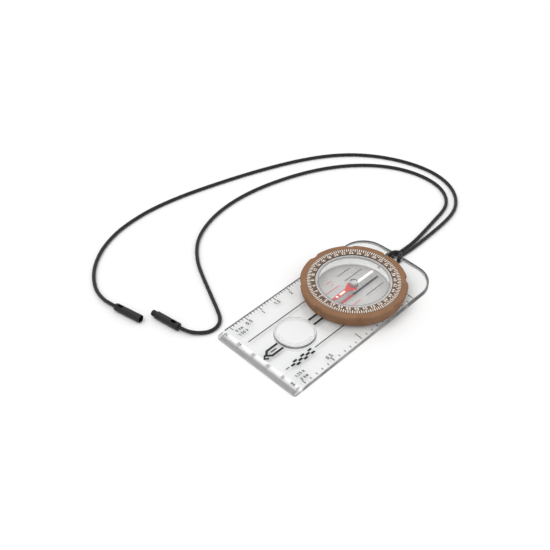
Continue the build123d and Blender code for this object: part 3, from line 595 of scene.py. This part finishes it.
def spline(points, step):
    """Natural cubic spline through the points, resampled by length; also the distances."""
    points = np.array(points, float)
    count = len(points)
    knots = np.r_[0, np.cumsum(np.sqrt(np.linalg.norm(np.diff(points, axis=0), axis=1)))]
    gaps = np.diff(knots)
    system = np.zeros((count, count))
    right_side = np.zeros((count, 3))
    system[0, 0] = system[-1, -1] = 1
    for i in range(1, count - 1):
        before, after = gaps[i - 1], gaps[i]
        system[i, i - 1:i + 2] = before, 2 * (before + after), after
        right_side[i] = 6 * ((points[i + 1] - points[i]) / after
                             - (points[i] - points[i - 1]) / before)
    bend = np.linalg.solve(system, right_side)      # second derivatives at the knots
    fine = np.linspace(knots[0], knots[-1], 40 * count)
    k = np.clip(np.searchsorted(knots, fine, side="right") - 1, 0, count - 2)
    u = (fine - knots[k])[:, None]
    gap = gaps[k][:, None]
    cubic = (bend[k + 1] - bend[k]) / (6 * gap)
    slope = (points[k + 1] - points[k]) / gap - gap * (2 * bend[k] + bend[k + 1]) / 6
    curve = ((cubic * u + bend[k] / 2) * u + slope) * u + points[k]
    travelled = np.r_[0, np.cumsum(np.linalg.norm(np.diff(curve, axis=0), axis=1))]
    even = np.linspace(0, travelled[-1], int(round(travelled[-1] / step)) + 1)
    return np.array([np.interp(even, travelled, curve[:, i]) for i in range(3)]).T, even


def carried_frames(line):
    """Two directions across the line at each point, carried along so the braid doesn't twist."""
    tangents = np.gradient(line, axis=0)
    tangents /= np.linalg.norm(tangents, axis=1)[:, None]
    normals = np.zeros_like(tangents)
    carried = np.array([0, 0, 1.0])
    for i, tangent in enumerate(tangents):
        carried = carried - tangent * (carried @ tangent)
        carried /= np.linalg.norm(carried)
        normals[i] = carried
    return normals, np.cross(tangents, normals)


def braid(turns, s):
    """Height 0..1 of an over-and-under braid, at an angle in turns and a distance s."""
    u = turns * CARRIERS + s / BRAID_PITCH
    v = turns * CARRIERS - s / BRAID_PITCH
    cell_u, cell_v = np.floor(u), np.floor(v)
    in_u, in_v = u - cell_u - 0.5, v - cell_v - 0.5
    over = (cell_u + cell_v) % 2 == 0
    across = np.where(over, in_u, in_v)
    along = np.where(over, in_v, in_u)
    yarn = np.sqrt(np.clip(1 - (1.85 * across) ** 2, 0, 1))
    return yarn * (0.55 + 0.45 * np.cos(math.pi * along))


def pressed_z(verts, centre_z, height):
    """Heights with the cord pressed flat on the table, under the bar and on the bar."""
    x, y, z = verts[..., 0], verts[..., 1], verts[..., 2]
    z = np.maximum(z, 0.03 + 0.05 * height * (z < 0.2))
    in_hitch = np.abs(x - 1.0) < 5.2
    under = in_hitch & (centre_z < 1.30) & (y > -39.60) & (y < -36.02)
    ceiling = 1.24 + 0.85 * smoothstep(-y, 38.72, 39.60)
    z = np.where(under, np.minimum(z, ceiling - 0.06 * (1 - height)), z)
    over = in_hitch & (centre_z > 2.9) & (y > -38.72) & (y < -36.05)
    return np.where(over, np.maximum(z, 2.56), z)


centre, distance = spline(SOCKET_STRAND[::-1] + HITCH + PLUG_STRAND, CORD_STEP)
normals, binormals = carried_frames(centre)


def cord_piece(name, first, last):
    """The cord from sample first to sample last, closed at both ends."""
    part = slice(first, last + 1)
    turns, s = np.meshgrid(np.arange(AROUND) / AROUND, distance[part])
    height = braid(turns, s)
    wobble = 0.012 * np.sin(s * 1.3) + 0.010 * np.sin(s * 3.1 + 6.28 * turns)
    radius = (CORD_R - BRAID_SINK + BRAID_HEIGHT * height + wobble)[..., None]
    angle = 2 * math.pi * turns[..., None]
    middle = centre[part][:, None, :]
    verts = middle + radius * (np.cos(angle) * normals[part][:, None, :]
                               + np.sin(angle) * binormals[part][:, None, :])
    verts[..., 2] = pressed_z(verts, middle[..., 2], height)
    verts = verts.reshape(-1, 3)
    rings = last - first + 1
    start_tip, end_tip = len(verts), len(verts) + 1
    end_ring = (rings - 1) * AROUND
    loop = [(j, (j + 1) % AROUND) for j in range(AROUND)]
    faces = [tuple(face) for face in grid_faces(rings, AROUND, flip=True)]
    faces += [(start_tip, a, b) for a, b in loop]
    faces += [(end_tip, end_ring + b, end_ring + a) for a, b in loop]
    obj = mesh_object(name, np.vstack([verts, centre[first], centre[last]]), faces, CORD)
    crown = obj.data.attributes.new("crown", "FLOAT", "POINT")
    crown.data.foreach_set("value", np.r_[height.reshape(-1), np.zeros(2)].astype(np.float32))
    return obj


# The cord is cut where each strand, followed outwards from the hitch loop, first passes a y.
loop_middle = np.array(HITCH[len(HITCH) // 2])
mid = int(np.argmin(np.linalg.norm(centre - loop_middle, axis=1)))
end = len(centre) - 1
root_a, cut_a = (max(i for i in range(mid) if centre[i][1] < y) for y in (ROOT_Y, CUT_Y))
root_b, cut_b = (min(i for i in range(mid, end + 1) if centre[i][1] < y)
                 for y in (ROOT_Y, CUT_Y))

hitch = cord_piece("cord_hitch", root_a, root_b)
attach(hitch, "baseplate")
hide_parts("lanyard_hitch")
for side, first, last in (("socket_side", cut_a, root_a), ("plug_side", root_b, cut_b)):
    neck = cord_piece(f"cord_neck_{side}", first, last)
    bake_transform(neck)
for side, first, last in (("socket_side", 0, cut_a), ("plug_side", cut_b, end)):
    strand = cord_piece(f"cord_strand_{side}", first, last)
    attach(strand, f"strand_{side}")
    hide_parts(f"lanyard_strand_{side}")

# ---------------------------------------------------------------------------
# stage: pale floor, soft light, camera
# ---------------------------------------------------------------------------
FLOOR_HALF, FLOOR_Z = 3000, -0.03
# grey sky: upward part of the direction, brightness
SKY = ((0.0, 0.22), (1.0, 1.0), (0.20, 0.42), (0.36, 0.66), (0.62, 0.95))


def build_floor():
    mat = Mat("m_floor")
    colour = mat.mix(mat.noise(scale=9), grey(0.80), grey(0.82))
    material = mat.finish(mat.principled(Base_Color=colour, Roughness=0.9,
                                         Specular_IOR_Level=0.0))
    corners = [(x * FLOOR_HALF, y * FLOOR_HALF, FLOOR_Z)
               for x, y in ((-1, -1), (1, -1), (1, 1), (-1, 1))]
    mesh_object("floor", corners, [(0, 1, 2, 3)], material, smooth=False)


def build_world():
    world = bpy.data.worlds.new("studio")
    scene.world = world
    world.use_nodes = True
    tree = world.node_tree
    tree.nodes.clear()
    output, background, coords, split, ramp = (tree.nodes.new(f"ShaderNode{kind}") for kind in (
        "OutputWorld", "Background", "TexCoord", "SeparateXYZ", "ValToRGB"))
    tree.links.new(coords.outputs["Generated"], split.inputs[0])
    tree.links.new(split.outputs["Z"], ramp.inputs[0])
    elements = ramp.color_ramp.elements     # starts with elements at 0 and 1
    for i, (position, level) in enumerate(SKY):
        element = elements[i] if i < 2 else elements.new(position)
        element.color = (*grey(level), 1)
    tree.links.new(ramp.outputs[0], background.inputs[0])
    background.inputs["Strength"].default_value = 1.16
    tree.links.new(background.outputs[0], output.inputs[0])


def build_key_light():
    """Soft sun from above and to the left of the view."""
    sun = bpy.data.lights.new("key", "SUN")
    sun.energy = 0.90
    sun.angle = math.radians(34)
    key = bpy.data.objects.new("key", sun)
    key.visible_glossy = False
    key.visible_transmission = False
    key.rotation_mode = "QUATERNION"
    key.rotation_quaternion = Vector((0.25, 0.40, 1.0)).normalized().to_track_quat("Z", "Y")
    scene.collection.objects.link(key)


def build_camera():
    place = (-0.200376, 0.255149, 0.306988)
    azimuth, elevation, roll = (math.radians(a) for a in (-134.691, 42.343, -0.541))
    back = Vector((math.sin(azimuth) * math.cos(elevation),
                   -math.cos(azimuth) * math.cos(elevation), math.sin(elevation)))
    level = (-back).cross(Vector((0, 0, 1))).normalized()
    upright = level.cross(-back)
    right = math.cos(roll) * level + math.sin(roll) * upright
    up = -math.sin(roll) * level + math.cos(roll) * upright
    lens = bpy.data.cameras.new("camera")
    lens.sensor_fit = "HORIZONTAL"
    lens.sensor_width = 36.0
    lens.lens = 55.88
    lens.clip_start = 0.01
    camera = bpy.data.objects.new("camera", lens)
    camera.matrix_world = Matrix((*zip(right, up, back, place), (0, 0, 0, 1)))
    scene.collection.objects.link(camera)
    scene.camera = camera


build_floor()
build_world()
build_key_light()
build_camera()
scene.view_settings.view_transform = "Standard"
scene.view_settings.look = "None"
scene.view_settings.exposure = 0.0
scene.view_settings.gamma = 1.0
scene.cycles.max_bounces = 16
scene.cycles.transmission_bounces = 14
scene.cycles.transparent_max_bounces = 40
scene.cycles.glossy_bounces = 6
scene.cycles.caustics_reflective = False
scene.cycles.caustics_refractive = False
